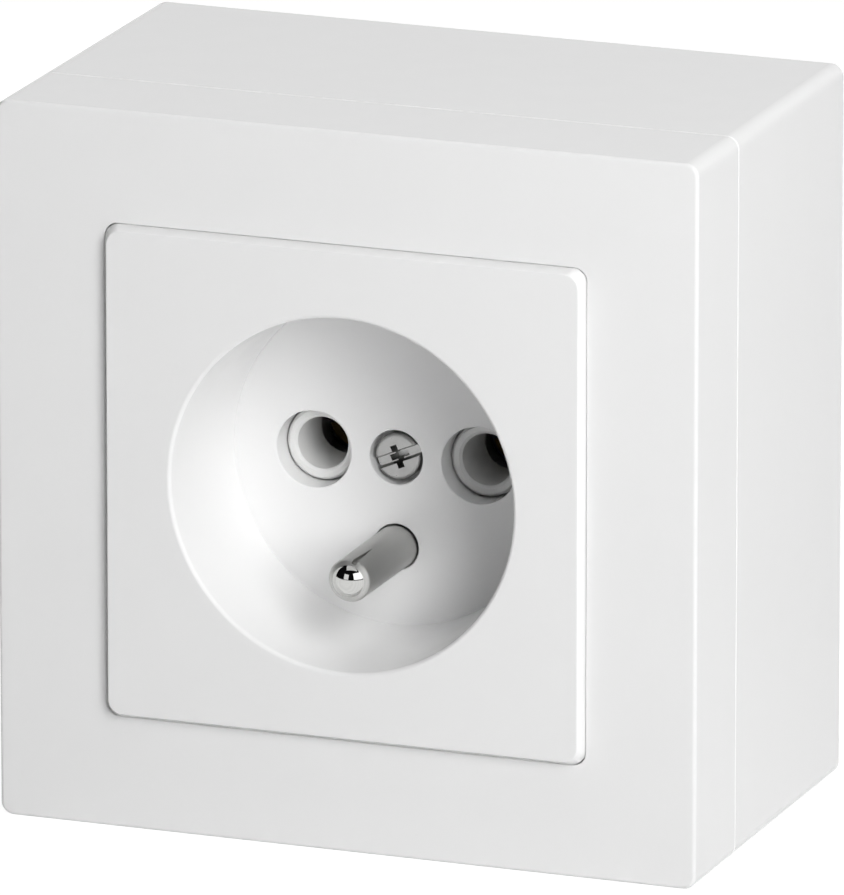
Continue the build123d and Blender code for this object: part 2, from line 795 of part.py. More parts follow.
turned_pin = Pos(0, 0, -pin_drop) * earth_pin.part
turned_pin.label = "earth_pin"
export_step(turned_pin, "parts/earth_pin.step")

# Terminal screws, driven from the wall side through the holes of the rear cover.
terminal_screws = Compound(
    children=[
        slotted_screw(
            centre, clamp_back, True, terminal_screw_radius, terminal_screw_length,
            terminal_head_radius, terminal_head_height, terminal_slot_width, terminal_slot_depth,
        )
        for centre in ((-pole_x, terminal_offset), (pole_x, terminal_offset), (0, -earth_terminal_offset))
    ]
)
terminal_screws.label = "terminal_screws"
export_step(terminal_screws, "parts/terminal_screws.step")

# Rear cover of the carrier, with holes for a screwdriver and a stop behind each contact.
with BuildPart() as rear_cover:
    with BuildSketch(level(rear_back)):
        Circle(drum_radius)
        with Locations((pole_x, terminal_offset), (-pole_x, terminal_offset), (0, -earth_terminal_offset)):
            Circle(access_radius, mode=Mode.SUBTRACT)
        with Locations((rear_screw_x, -rear_screw_drop), (-rear_screw_x, -rear_screw_drop)):
            Circle(rear_screw_radius + screw_clearance, mode=Mode.SUBTRACT)
    extrude(amount=rear_thickness)
    with BuildSketch(level(rear_back)):
        with Locations((rear_screw_x, -rear_screw_drop), (-rear_screw_x, -rear_screw_drop)):
            Circle(rear_head_radius + screw_clearance)
    extrude(amount=rear_head_height, mode=Mode.SUBTRACT)
    with BuildSketch(level(carrier_back - overlap)):
        with Locations((pole_x, 0), (-pole_x, 0)):
            Circle(stop_radius)
    extrude(amount=jaw_foot - stop_play - carrier_back + overlap)
rear_cover.part.label = "rear_cover"
export_step(rear_cover.part, "parts/rear_cover.step")

rear_screws = Compound(
    children=[
        slotted_screw(
            (side * rear_screw_x, -rear_screw_drop), rear_back + rear_head_height, True,
            rear_screw_radius, rear_screw_length, rear_head_radius, rear_head_height,
            rear_driver_width, rear_driver_depth,
        )
        for side in (-1, 1)
    ]
)
rear_screws.label = "rear_screws"
export_step(rear_screws, "parts/rear_screws.step")
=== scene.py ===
# %% [markdown]
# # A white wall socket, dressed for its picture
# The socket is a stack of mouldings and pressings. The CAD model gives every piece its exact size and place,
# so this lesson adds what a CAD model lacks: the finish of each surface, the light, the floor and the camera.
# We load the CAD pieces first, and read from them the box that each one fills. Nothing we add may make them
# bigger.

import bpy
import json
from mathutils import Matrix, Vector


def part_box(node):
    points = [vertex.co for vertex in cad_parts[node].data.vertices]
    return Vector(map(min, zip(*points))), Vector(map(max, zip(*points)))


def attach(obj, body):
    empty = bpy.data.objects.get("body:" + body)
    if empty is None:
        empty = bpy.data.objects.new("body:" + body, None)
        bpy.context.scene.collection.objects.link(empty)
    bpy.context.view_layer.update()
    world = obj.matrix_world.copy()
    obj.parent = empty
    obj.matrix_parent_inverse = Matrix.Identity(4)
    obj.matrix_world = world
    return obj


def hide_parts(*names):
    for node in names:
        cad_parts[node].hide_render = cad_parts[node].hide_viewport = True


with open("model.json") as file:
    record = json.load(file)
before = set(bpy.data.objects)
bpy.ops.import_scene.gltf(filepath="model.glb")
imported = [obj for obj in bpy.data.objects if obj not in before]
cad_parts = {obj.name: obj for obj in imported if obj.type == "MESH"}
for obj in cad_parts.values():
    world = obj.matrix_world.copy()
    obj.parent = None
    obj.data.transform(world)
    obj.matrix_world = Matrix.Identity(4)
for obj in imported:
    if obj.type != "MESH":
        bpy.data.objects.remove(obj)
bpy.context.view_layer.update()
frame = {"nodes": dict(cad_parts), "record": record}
print("CAD pieces:", len(frame["nodes"]))

# %% [markdown]
# Lengths on the drawing are in millimetres and Blender works in metres, so one value turns one into the other.
# The places that the next cells need are read from the CAD boxes, not typed in again.

# %% Units and places
import json
from math import asin, cos, pi, radians, sin, tan

import bpy
from mathutils import Matrix, Vector

MM = 0.001
plate_low, plate_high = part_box("cover_plate")
floor_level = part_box("surface_box")[0][2]
pin_low, pin_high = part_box("earth_pin")
screw_low, screw_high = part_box("cover_screw")
print("front of the plate, mm from the wall:", round(-plate_low[1] / MM, 2))
print("tip of the earth pin, mm from the wall:", round(-pin_low[1] / MM, 2))

# %% [markdown]
# A colour picked on a screen is in sRGB, which is bent to suit the eye. Blender mixes light in straight numbers.
# One function does the conversion, so that every colour below can be written as it would be seen.

# %% Screen colour to light
def screen_colour(code):
    """Turn a screen colour such as #E8E8E6 to the linear colour that a shader takes."""
    parts = [int(code[i:i + 2], 16) / 255 for i in (1, 3, 5)]
    linear = [p / 12.92 if p <= 0.04045 else ((p + 0.055) / 1.055) ** 2.4 for p in parts]
    return (*linear, 1.0)


print("white of the mouldings as light:", [round(v, 3) for v in screen_colour("#F2F2F2")[:3]])

# %% [markdown]
# A material in Blender is a small chart of nodes. Adding a node always takes the same steps: make it, choose how
# it works, type in its numbers and join its inputs. One function does that, so each material stays easy to read.

# %% A helper for nodes
def add_node(tree, kind, settings=None, numbers=None, joins=None):
    """Add a node, set its options and its numbers, and join its inputs to the outputs of other nodes."""
    node = tree.nodes.new(kind)
    for name, value in (settings or {}).items():
        setattr(node, name, value)
    for name, value in (numbers or {}).items():
        node.inputs[name].default_value = value
    for name, output in (joins or {}).items():
        tree.links.new(output, node.inputs[name])
    return node


def new_material(name):
    """Make an empty material and give back the material and its node tree."""
    material = bpy.data.materials.new(name)
    material.use_nodes = True
    material.node_tree.nodes.clear()
    return material, material.node_tree


# %% [markdown]
# The white pieces are injection-moulded plastic, ABS or a polycarbonate blend. The steel mould was polished, so the
# skin is glossy, yet never optically flat: it has a faint waviness a few millimetres long where the plastic shrank,
# and a very fine grain. Both are drawn as bump. The gloss changes a little from place to place, as handling leaves it.

# %% Glossy white moulded plastic
TONE_PATCH = 9 * MM
NOISE_LOW, NOISE_HIGH = 0.3, 0.7
GLOSSIER, DULLER = 0.03, 0.04


def moulded_plastic(name, light, dark, gloss, wave_mm, wave_depth_mm, grain_mm, grain_depth_mm):
    """Moulded plastic with a slight change of tone, a shrinkage wave and a fine grain."""
    material, tree = new_material(name)
    place = add_node(tree, "ShaderNodeTexCoord")
    tone = add_node(
        tree, "ShaderNodeTexNoise", numbers={"Scale": 1 / TONE_PATCH, "Detail": 3.0},
        joins={"Vector": place.outputs["Object"]},
    )
    colour = add_node(
        tree, "ShaderNodeMix", {"data_type": "RGBA"}, joins={"Factor": tone.outputs["Fac"]},
    )
    colour.inputs["A"].default_value = screen_colour(light)
    colour.inputs["B"].default_value = screen_colour(dark)
    rough = add_node(
        tree, "ShaderNodeMapRange",
        numbers={
            "From Min": NOISE_LOW, "From Max": NOISE_HIGH, "To Min": gloss - GLOSSIER, "To Max": gloss + DULLER,
        },
        joins={"Value": tone.outputs["Fac"]},
    )
    wave = add_node(
        tree, "ShaderNodeTexNoise", numbers={"Scale": 1 / (wave_mm * MM), "Detail": 1.0},
        joins={"Vector": place.outputs["Object"]},
    )
    wave_bump = add_node(
        tree, "ShaderNodeBump", numbers={"Strength": 1.0, "Distance": wave_depth_mm * MM},
        joins={"Height": wave.outputs["Fac"]},
    )
    grain = add_node(
        tree, "ShaderNodeTexNoise", numbers={"Scale": 1 / (grain_mm * MM), "Detail": 2.0},
        joins={"Vector": place.outputs["Object"]},
    )
    grain_bump = add_node(
        tree, "ShaderNodeBump", numbers={"Strength": 1.0, "Distance": grain_depth_mm * MM},
        joins={"Height": grain.outputs["Fac"], "Normal": wave_bump.outputs["Normal"]},
    )
    shader = add_node(
        tree, "ShaderNodeBsdfPrincipled", numbers={"IOR": 1.5},
        joins={
            "Base Color": colour.outputs["Result"],
            "Roughness": rough.outputs["Result"],
            "Normal": grain_bump.outputs["Normal"],
        },
    )
    add_node(tree, "ShaderNodeOutputMaterial", joins={"Surface": shader.outputs["BSDF"]})
    return material


white_abs = moulded_plastic(
    "moulded_white_abs", "#F2F2F2", "#F0F0F0", gloss=0.22,
    wave_mm=6.0, wave_depth_mm=0.004, grain_mm=0.35, grain_depth_mm=0.0006,
)
print("made", white_abs.name)

# %% [markdown]
# The insulating carrier behind the plate is a harder plastic that stands heat, such as a filled polyamide. It is
# white too, a little duller than the cover. The rear cover of the carrier is the same kind of plastic, in grey.

# %% Insulating plastics
white_polyamide = moulded_plastic(
    "moulded_white_polyamide", "#EEEEED", "#EBEBEA", gloss=0.34,
    wave_mm=4.0, wave_depth_mm=0.004, grain_mm=0.3, grain_depth_mm=0.001,
)
grey_polyamide = moulded_plastic(
    "moulded_grey_polyamide", "#9A9C9F", "#8F9195", gloss=0.42,
    wave_mm=4.0, wave_depth_mm=0.004, grain_mm=0.3, grain_depth_mm=0.002,
)
print("made", white_polyamide.name, "and", grey_polyamide.name)

# %% [markdown]
# Screws, washers and the support plate are steel with a thin coat of zinc. Zinc grows as fine crystals, so it is
# never a mirror: its grey is slightly cloudy, and its gloss is broken by a fine grain. The springs are bare steel
# and the contacts brass. All three come from one function, with other colours and another grain.

# %% Steel and brass
def plated_metal(name, light, dark, rough_low, rough_high, cloud_mm, grain_mm, grain_depth_mm):
    """A metal skin with a cloudy tone and a fine grain. A metal keeps the default IOR."""
    material, tree = new_material(name)
    place = add_node(tree, "ShaderNodeTexCoord")
    cloud = add_node(
        tree, "ShaderNodeTexNoise", numbers={"Scale": 1 / (cloud_mm * MM), "Detail": 4.0, "Roughness": 0.6},
        joins={"Vector": place.outputs["Object"]},
    )
    colour = add_node(
        tree, "ShaderNodeMix", {"data_type": "RGBA"}, joins={"Factor": cloud.outputs["Fac"]},
    )
    colour.inputs["A"].default_value = screen_colour(light)
    colour.inputs["B"].default_value = screen_colour(dark)
    rough = add_node(
        tree, "ShaderNodeMapRange",
        numbers={"From Min": NOISE_LOW, "From Max": NOISE_HIGH, "To Min": rough_low, "To Max": rough_high},
        joins={"Value": cloud.outputs["Fac"]},
    )
    grain = add_node(
        tree, "ShaderNodeTexNoise", numbers={"Scale": 1 / (grain_mm * MM), "Detail": 3.0},
        joins={"Vector": place.outputs["Object"]},
    )
    bump = add_node(
        tree, "ShaderNodeBump", numbers={"Strength": 1.0, "Distance": grain_depth_mm * MM},
        joins={"Height": grain.outputs["Fac"]},
    )
    shader = add_node(
        tree, "ShaderNodeBsdfPrincipled", numbers={"Metallic": 1.0},
        joins={
            "Base Color": colour.outputs["Result"],
            "Roughness": rough.outputs["Result"],
            "Normal": bump.outputs["Normal"],
        },
    )
    add_node(tree, "ShaderNodeOutputMaterial", joins={"Surface": shader.outputs["BSDF"]})
    return material


zinc_steel = plated_metal(
    "zinc_plated_steel", "#B0B0AF", "#9C9C9B", rough_low=0.26, rough_high=0.36,
    cloud_mm=1.2, grain_mm=0.08, grain_depth_mm=0.0008,
)
spring_steel = plated_metal(
    "hardened_spring_steel", "#83868B", "#6C6F75", rough_low=0.3, rough_high=0.42,
    cloud_mm=2.0, grain_mm=0.1, grain_depth_mm=0.001,
)
stamped_brass = plated_metal(
    "stamped_brass", "#8A7247", "#766038", rough_low=0.4, rough_high=0.5,
    cloud_mm=3.0, grain_mm=0.15, grain_depth_mm=0.001,
)
print("made", zinc_steel.name, spring_steel.name, stamped_brass.name)

# %% [markdown]
# The earth pin is brass, turned on a lathe and nickel-plated. The lathe leaves fine rings round the shank, so the
# shank looks satin, while the end that guides the plug was polished. The rings run across the axis of the pin: a
# wave pattern along Y draws them. Real turning marks are about 0.05 mm apart, too fine to show, so they are drawn
# at 0.16 mm: Blender's wave repeats every pi / 10 at scale 1. Where Y passes the foot of the cap, the roughness
# drops and the end shines. CAP_DEPTH is the rise that the cap gets when the pin is turned, further below.

# %% Nickel-plated brass
RING_PITCH = 0.16 * MM
RING_DEPTH = 0.002 * MM
RING_RELIEF = 0.5
CAP_DEPTH = 0.85 * MM
POLISH_ENDS = 0.04 * MM
SATIN_STARTS = 0.02 * MM
POLISHED = 0.05
SATIN = 0.48


def turned_nickel(name):
    """Satin turned nickel with a polished end."""
    material, tree = new_material(name)
    place = add_node(tree, "ShaderNodeTexCoord")
    split = add_node(tree, "ShaderNodeSeparateXYZ", joins={"Vector": place.outputs["Object"]})
    rings = add_node(
        tree, "ShaderNodeTexWave", {"wave_type": "BANDS", "bands_direction": "Y"},
        {"Scale": pi / 10 / RING_PITCH, "Distortion": 1.5, "Detail": 2.0},
        {"Vector": place.outputs["Object"]},
    )
    polish = add_node(
        tree, "ShaderNodeMapRange",
        numbers={
            "From Min": pin_low[1] + CAP_DEPTH - POLISH_ENDS, "From Max": pin_low[1] + CAP_DEPTH + SATIN_STARTS,
            "To Min": POLISHED, "To Max": SATIN,
        },
        joins={"Value": split.outputs["Y"]},
    )
    ring_depth = add_node(
        tree, "ShaderNodeMapRange",
        numbers={"From Min": POLISHED, "From Max": SATIN, "To Min": 0.0, "To Max": RING_RELIEF},
        joins={"Value": polish.outputs["Result"]},
    )
    bump = add_node(
        tree, "ShaderNodeBump", numbers={"Distance": RING_DEPTH},
        joins={"Height": rings.outputs["Fac"], "Strength": ring_depth.outputs["Result"]},
    )
    colour = add_node(
        tree, "ShaderNodeMix", {"data_type": "RGBA"}, joins={"Factor": rings.outputs["Fac"]},
    )
    colour.inputs["A"].default_value = screen_colour("#C9C9C7")
    colour.inputs["B"].default_value = screen_colour("#C5C5C3")
    shader = add_node(
        tree, "ShaderNodeBsdfPrincipled", numbers={"Metallic": 1.0},
        joins={
            "Base Color": colour.outputs["Result"],
            "Roughness": polish.outputs["Result"],
            "Normal": bump.outputs["Normal"],
        },
    )
    add_node(tree, "ShaderNodeOutputMaterial", joins={"Surface": shader.outputs["BSDF"]})
    return material


nickel = turned_nickel("turned_nickel_plated_brass")
print("made", nickel.name)

# %% [markdown]
# The record says which finish each piece has, by the name of a slot. We follow it piece by piece, so a screw that
# can't be seen from the front is dressed as carefully as one that can.

# %% Dress every CAD piece
finish_of_slot = {
    "white_moulding": white_abs,
    "carrier_moulding": white_polyamide,
    "rear_moulding": grey_polyamide,
    "zinc_steel": zinc_steel,
    "spring_steel": spring_steel,
    "nickel": nickel,
    "brass": stamped_brass,
}
for row in frame["record"]["subparts"]:
    piece = frame["nodes"][row["node"]]
    piece.data.materials.clear()
    piece.data.materials.append(finish_of_slot[row["material_slot"]])

# %% [markdown]
# Three pieces in the middle of the picture deserve a finer mesh than the CAD model's: the cover plate with its
# recess, the earth pin and the cover screw. Most of their shapes are turned, so one function makes a turned body. It
# starts with a disc, pulls its face out and resizes it for each step of an outline, as a lathe tool would follow it.
# An outline is a list of pairs: radius, and height above the wall, both in millimetres.

# %% A lathe for Blender
SMOOTH_UP_TO = 32


def turned_body(name, outline, across=0.0, up=0.0, segments=128):
    """Turn an outline of (radius, height) pairs round an axis that points into the room."""
    bpy.ops.object.select_all(action="DESELECT")
    radius, height = outline[0]
    bpy.ops.mesh.primitive_circle_add(vertices=segments, radius=radius * MM, fill_type="NGON")
    body = bpy.context.object
    body.name = name
    bpy.ops.object.mode_set(mode="EDIT")
    bpy.ops.mesh.select_all(action="SELECT")
    bpy.ops.transform.translate(value=(0, 0, height * MM))
    for next_radius, next_height in outline[1:]:
        rise = (0, 0, (next_height - height) * MM)
        bpy.ops.mesh.extrude_region_move(TRANSFORM_OT_translate={"value": rise})
        ratio = next_radius / radius
        bpy.ops.transform.resize(value=(ratio, ratio, 1), center_override=(0, 0, next_height * MM))
        radius, height = next_radius, next_height
    bpy.ops.mesh.select_all(action="SELECT")
    bpy.ops.transform.rotate(value=radians(-90), orient_axis="X", center_override=(0, 0, 0))
    bpy.ops.transform.translate(value=(across * MM, 0, up * MM))
    bpy.ops.mesh.normals_make_consistent(inside=False)
    bpy.ops.object.mode_set(mode="OBJECT")
    return body


def rounding(start, end, steps):
    """The points after start of a quarter round, which sets off along the height."""
    points = []
    for step in range(1, steps + 1):
        turn = step / steps * pi / 2
        part = (1 - cos(turn), sin(turn))
        points.append((start[0] + (end[0] - start[0]) * part[0], start[1] + (end[1] - start[1]) * part[1]))
    return points


def combine(piece, other, operation):
    """Join a second body to a piece, or cut it away, and throw the second body away."""
    step = piece.modifiers.new(operation.lower(), "BOOLEAN")
    step.operation = operation
    step.object = other
    step.solver = "EXACT"
    bpy.context.view_layer.objects.active = piece
    bpy.ops.object.modifier_apply(modifier=step.name)
    bpy.data.objects.remove(other)


def stand_in(piece, node, slot):
    """Smooth a finished piece, give it the finish of its slot and let it take the place of its CAD node."""
    bpy.ops.object.select_all(action="DESELECT")
    piece.select_set(True)
    bpy.context.view_layer.objects.active = piece
    bpy.ops.object.shade_smooth_by_angle(angle=radians(SMOOTH_UP_TO))
    even = piece.modifiers.new("even", "WEIGHTED_NORMAL")
    even.keep_sharp = True
    bpy.ops.object.modifier_apply(modifier=even.name)
    piece.data.materials.clear()
    piece.data.materials.append(finish_of_slot[slot])
    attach(piece, "root")
    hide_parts(node)
    print(piece.name, "faces:", len(piece.data.polygons))

# %% [markdown]
# The cover plate comes first. These are its sizes in millimetres, where a height is a distance from the wall. What
# the CAD box knows is read from it. To work on one flat face, we must be able to pick it by its height.

# %% Sizes of the cover plate
PLATE = 54.88
PLATE_CORNER = 1.6
PLATE_BACK = 43.6
FRAME_FRONT = 46.3
PLATE_FRONT = -plate_low[1] / MM
PLATE_DRAFT = 25.0
PLATE_SOFTENING = 0.12
PLATE_WALL = 1.8
PLATE_FACE = 2.0
RECESS_RIM = 19.6
RIM_ROUND = 0.45
RECESS_FLOOR_RADIUS = 18.7
RECESS_FLOOR = 30.8
FLOOR_BACK = 28.8
COLLAR_BACK = -plate_high[1] / MM
CUP_WALL = 1.5
POLE_ACROSS = 9.5
POLE_HOLE = 4.3
COLLAR_WALL = 1.2
PIN_DOWN = -10.0
PIN_HOLE = 2.55
SCREW_HOLE = 1.7
SCREW_WELL = 3.05
SCREW_SEAT = 28.2
SCREW_BOSS = 4.6
MOUTH_EDGE = 0.1
PAST = 1.0
SAME_HEIGHT = 0.001
SAME_PLACE = 1e-6
CORNER_STEPS = 8
SOFTENING_STEPS = 3
RIM_STEPS = 8
RIM_OVERCUT = 0.02
RECESS_SEGMENTS = 192
HOLE_SEGMENTS = 96


def pick_faces(piece, height):
    """Select, in edit mode, the faces that lie flat at a height above the wall."""
    bpy.ops.mesh.select_all(action="DESELECT")
    bpy.ops.object.mode_set(mode="OBJECT")
    for face in piece.data.polygons:
        flat = all(abs(-piece.data.vertices[v].co.y / MM - height) < SAME_HEIGHT for v in face.vertices)
        face.select = flat
    bpy.ops.object.mode_set(mode="EDIT")


print("the plate stands proud of the frame by, mm:", round(PLATE_FRONT - FRAME_FRONT, 2))

# %% [markdown]
# The plate starts as a square slab with rounded corners. Its front is pulled out with a draft, since a moulding must
# slide out of its mould, and its edge is softened only a little. Then the slab is hollowed from behind.

# %% Slab of the cover plate
bpy.ops.object.select_all(action="DESELECT")
bpy.ops.mesh.primitive_cube_add(size=1)
cover_plate = bpy.context.object
cover_plate.name = "moulded_cover_plate"
bpy.ops.object.mode_set(mode="EDIT")
bpy.ops.mesh.select_mode(type="EDGE")
bpy.ops.mesh.select_all(action="SELECT")
bpy.ops.transform.resize(value=(PLATE * MM, (FRAME_FRONT - PLATE_BACK) * MM, PLATE * MM))
bpy.ops.transform.translate(value=(0, -(FRAME_FRONT + PLATE_BACK) / 2 * MM, 0))
bpy.ops.mesh.select_all(action="DESELECT")
bpy.ops.object.mode_set(mode="OBJECT")
for edge in cover_plate.data.edges:
    one, other = (cover_plate.data.vertices[v].co for v in edge.vertices)
    edge.select = abs(one.x - other.x) < SAME_PLACE and abs(one.z - other.z) < SAME_PLACE
bpy.ops.object.mode_set(mode="EDIT")
bpy.ops.mesh.bevel(offset=PLATE_CORNER * MM, segments=CORNER_STEPS, affect="EDGES")
bpy.ops.mesh.select_mode(type="FACE")
pick_faces(cover_plate, FRAME_FRONT)
proud = PLATE_FRONT - FRAME_FRONT
bpy.ops.mesh.extrude_region_move(TRANSFORM_OT_translate={"value": (0, -proud * MM, 0)})
drafted = 1 - 2 * proud * tan(radians(PLATE_DRAFT)) / PLATE
bpy.ops.transform.resize(value=(drafted, 1, drafted), center_override=(0, -PLATE_FRONT * MM, 0))
bpy.ops.mesh.bevel(offset=PLATE_SOFTENING * MM, segments=SOFTENING_STEPS, affect="EDGES")
pick_faces(cover_plate, PLATE_BACK)
bpy.ops.mesh.extrude_region_move(TRANSFORM_OT_translate={"value": (0, 0, 0)})
inner = 1 - 2 * PLATE_WALL / PLATE
bpy.ops.transform.resize(value=(inner, 1, inner), center_override=(0, -PLATE_BACK * MM, 0))
hollow = PLATE_FRONT - PLATE_FACE - PLATE_BACK
bpy.ops.mesh.extrude_region_move(TRANSFORM_OT_translate={"value": (0, -hollow * MM, 0)})
bpy.ops.mesh.select_all(action="SELECT")
bpy.ops.mesh.normals_make_consistent(inside=False)
bpy.ops.object.mode_set(mode="OBJECT")
print("slab, faces:", len(cover_plate.data.polygons))

# %% [markdown]
# Behind the slab sit the cup of the recess, a collar for each contact hole and the boss of the screw. They are turned
# bodies that run a little into each other, so that the joins leave one closed solid.

# %% Cup, collars and boss
cup = turned_body("cup", [
    (RECESS_FLOOR_RADIUS + CUP_WALL, FLOOR_BACK), (RECESS_RIM + CUP_WALL, PLATE_FRONT - PLATE_FACE / 2),
])
combine(cover_plate, cup, "UNION")
for across in (-POLE_ACROSS, POLE_ACROSS):
    collar = turned_body("collar", [(POLE_HOLE + COLLAR_WALL, h) for h in (COLLAR_BACK, FLOOR_BACK + PAST)], across)
    combine(cover_plate, collar, "UNION")
boss = turned_body("boss", [(SCREW_BOSS, h) for h in (COLLAR_BACK, FLOOR_BACK + PAST)])
combine(cover_plate, boss, "UNION")
print("with cup, collars and boss, faces:", len(cover_plate.data.polygons))

# %% [markdown]
# Last comes what is cut away: the recess with its slightly conical wall and rounded rim, and the four holes in its
# floor, for the two sleeves, the earth pin and the screw. Five drills make them, since the screw needs a narrow one
# for its shank and a wide one for its head. Each drill widens at the floor, which leaves a tiny edge that catches
# the light.

# %% Recess and holes
rim_start = (RECESS_RIM, PLATE_FRONT - RIM_ROUND)
rim_end = (RECESS_RIM + RIM_ROUND, PLATE_FRONT)
recess = turned_body("recess", [
    (RECESS_FLOOR_RADIUS, RECESS_FLOOR), rim_start, *rounding(rim_start, rim_end, RIM_STEPS),
    (RECESS_RIM + RIM_ROUND + RIM_OVERCUT, PLATE_FRONT + PAST),
], segments=RECESS_SEGMENTS)
combine(cover_plate, recess, "DIFFERENCE")
holes = [(across, 0, POLE_HOLE, COLLAR_BACK) for across in (-POLE_ACROSS, POLE_ACROSS)]
holes += [
    (0, PIN_DOWN, PIN_HOLE, COLLAR_BACK), (0, 0, SCREW_HOLE, COLLAR_BACK), (0, 0, SCREW_WELL, SCREW_SEAT + PAST),
]
for across, up, radius, foot in holes:
    drill = turned_body("drill", [
        (radius, foot - PAST), (radius, RECESS_FLOOR - MOUTH_EDGE),
        (radius + 2 * MOUTH_EDGE, RECESS_FLOOR + MOUTH_EDGE), (radius + 2 * MOUTH_EDGE, RECESS_FLOOR + PAST),
    ], across, up, HOLE_SEGMENTS)
    combine(cover_plate, drill, "DIFFERENCE")
stand_in(cover_plate, "cover_plate", "white_moulding")

# %% [markdown]
# The earth pin is one turned bar. From the back: the rivet head, the spigot in its strip, a neck, the collar that
# sits on the carrier, the shank, a short rounded taper and a polished cap, which is a slice of a ball. The ball's
# radius follows from the width and the rise of the cap, and the heights of the hidden steps from the CAD box.

# %% Earth pin
PIN_BACK = -pin_high[1] / MM
PIN_TIP = -pin_low[1] / MM
SHANK = 2.4
CAP_EDGE = 1.8
CAP_RISE = 0.85
TAPER = 0.55
COLLAR = (3.2, 26.8, 27.8)
NECK = 2.1
SHANK_START = 30.9
STEP = 0.8
RIVET_HEAD = 2.7
SPIGOT = 1.8
TAPER_STEPS = 8
TAPER_CURVE = 2.0
CAP_STEPS = 17

cap_foot = PIN_TIP - CAP_RISE
taper_foot = cap_foot - TAPER
ball = (CAP_EDGE ** 2 + CAP_RISE ** 2) / (2 * CAP_RISE)
pin_outline = [
    (RIVET_HEAD, PIN_BACK), (RIVET_HEAD, PIN_BACK + STEP), (SPIGOT, PIN_BACK + STEP), (SPIGOT, PIN_BACK + 2 * STEP),
    (NECK, PIN_BACK + 2 * STEP), (NECK, COLLAR[1]), (COLLAR[0], COLLAR[1]), (COLLAR[0], COLLAR[2]),
    (NECK, COLLAR[2]), (NECK, SHANK_START), (SHANK, SHANK_START), (SHANK, taper_foot),
]
for step in range(1, TAPER_STEPS + 1):
    along = step / TAPER_STEPS
    pin_outline.append((SHANK - (SHANK - CAP_EDGE) * along ** TAPER_CURVE, taper_foot + TAPER * along))
widest = asin(CAP_EDGE / ball)
for step in range(1, CAP_STEPS):
    lean = widest * (1 - step / CAP_STEPS)
    pin_outline.append((ball * sin(lean), PIN_TIP - ball * (1 - cos(lean))))
earth_pin = turned_body("turned_earth_pin", pin_outline, 0, PIN_DOWN)
print("radius of the cap's ball, mm:", round(ball, 2))

# %% [markdown]
# A slit runs from the taper along the upper side of the pin and ends in a point. A wedge cuts it: a block whose far
# end is narrower. The cover screw needs such blocks too, so one function makes them.

# %% Slit of the earth pin
SLIT_TURN = 72.5
SLIT_LENGTH = 4.8
SLIT_WIDTH = 0.65
SLIT_DEPTH = 0.4
SLIT_RUN_OUT = 0.9
SLIT_POINT = 0.02


def wedge(name, size, narrowing, turn, place):
    """A block whose far end is smaller, turned about the axis of the socket and put in its place, in mm."""
    bpy.ops.object.select_all(action="DESELECT")
    bpy.ops.mesh.primitive_cube_add(size=1)
    block = bpy.context.object
    block.name = name
    bpy.ops.object.mode_set(mode="EDIT")
    bpy.ops.mesh.select_mode(type="FACE")
    bpy.ops.mesh.select_all(action="DESELECT")
    bpy.ops.object.mode_set(mode="OBJECT")
    for face in block.data.polygons:
        face.select = face.normal.y > 0.5
    bpy.ops.object.mode_set(mode="EDIT")
    bpy.ops.transform.resize(value=narrowing, center_override=(0, 0.5, 0))
    bpy.ops.object.mode_set(mode="OBJECT")
    block.scale = [side * MM for side in size]
    block.rotation_euler = (0, radians(turn), 0)
    block.location = [side * MM for side in place]
    bpy.ops.object.transform_apply(location=True, rotation=True, scale=True)
    return block


slit_reach = (SHANK - SLIT_DEPTH + SHANK + PAST) / 2
slit = wedge(
    "slit", (SLIT_WIDTH, SLIT_LENGTH + SLIT_RUN_OUT, SLIT_DEPTH + PAST), (SLIT_POINT, 1, 1), 90 - SLIT_TURN,
    (
        slit_reach * cos(radians(SLIT_TURN)), (SLIT_LENGTH - SLIT_RUN_OUT) / 2 - taper_foot,
        PIN_DOWN + slit_reach * sin(radians(SLIT_TURN)),
    ),
)
combine(earth_pin, slit, "DIFFERENCE")
stand_in(earth_pin, "earth_pin", "nickel")

# %% [markdown]
# The cover screw has a flat head with a rounded edge. Its slot is shallow, and a deeper cross with slanted walls
# lies in line with it, so that either screwdriver fits. The slot and the cross are cut with blocks that get smaller
# towards their deep end. The shares say how much of a block's width and length is left there.

# %% Cover screw
SCREW_BACK = -screw_high[1] / MM
SCREW_FACE = -screw_low[1] / MM
HEAD = 2.6
HEAD_ROUND = 0.45
SCREW_SHANK = 1.5
SCREW_TIP = 0.4
DRIVER_TURN = -23.0
SLOT = (1.35, 0.75)
SLOT_FLARE = 1.33
SLOT_WIDTH_LEFT = 0.5
CROSS = (3.7, 0.95, 2.2)
CROSS_LENGTH_LEFT = 0.4
CROSS_WIDTH_LEFT = 0.6
HEAD_ROUND_SHARE = 0.7
HEAD_STEPS = 8
HEAD_SEGMENTS = 96

edge_start = (HEAD, SCREW_FACE - HEAD_ROUND_SHARE * HEAD_ROUND)
edge_end = (HEAD - HEAD_ROUND, SCREW_FACE)
cover_screw = turned_body("cover_screw_with_cross", [
    (SCREW_SHANK - SCREW_TIP, SCREW_BACK), (SCREW_SHANK, SCREW_BACK + SCREW_TIP), (SCREW_SHANK, SCREW_SEAT),
    (HEAD, SCREW_SEAT), edge_start, *rounding(edge_start, edge_end, HEAD_STEPS),
], segments=HEAD_SEGMENTS)
slot_width, slot_depth = SLOT
arm_length, arm_width, cross_depth = CROSS
cutters = [
    ((2 * HEAD + PAST, 2 * slot_depth, slot_width * SLOT_FLARE), (1, 1, SLOT_WIDTH_LEFT)),
    ((arm_length, 2 * cross_depth, arm_width), (CROSS_LENGTH_LEFT, 1, CROSS_WIDTH_LEFT)),
    ((arm_width, 2 * cross_depth, arm_length), (CROSS_WIDTH_LEFT, 1, CROSS_LENGTH_LEFT)),
]
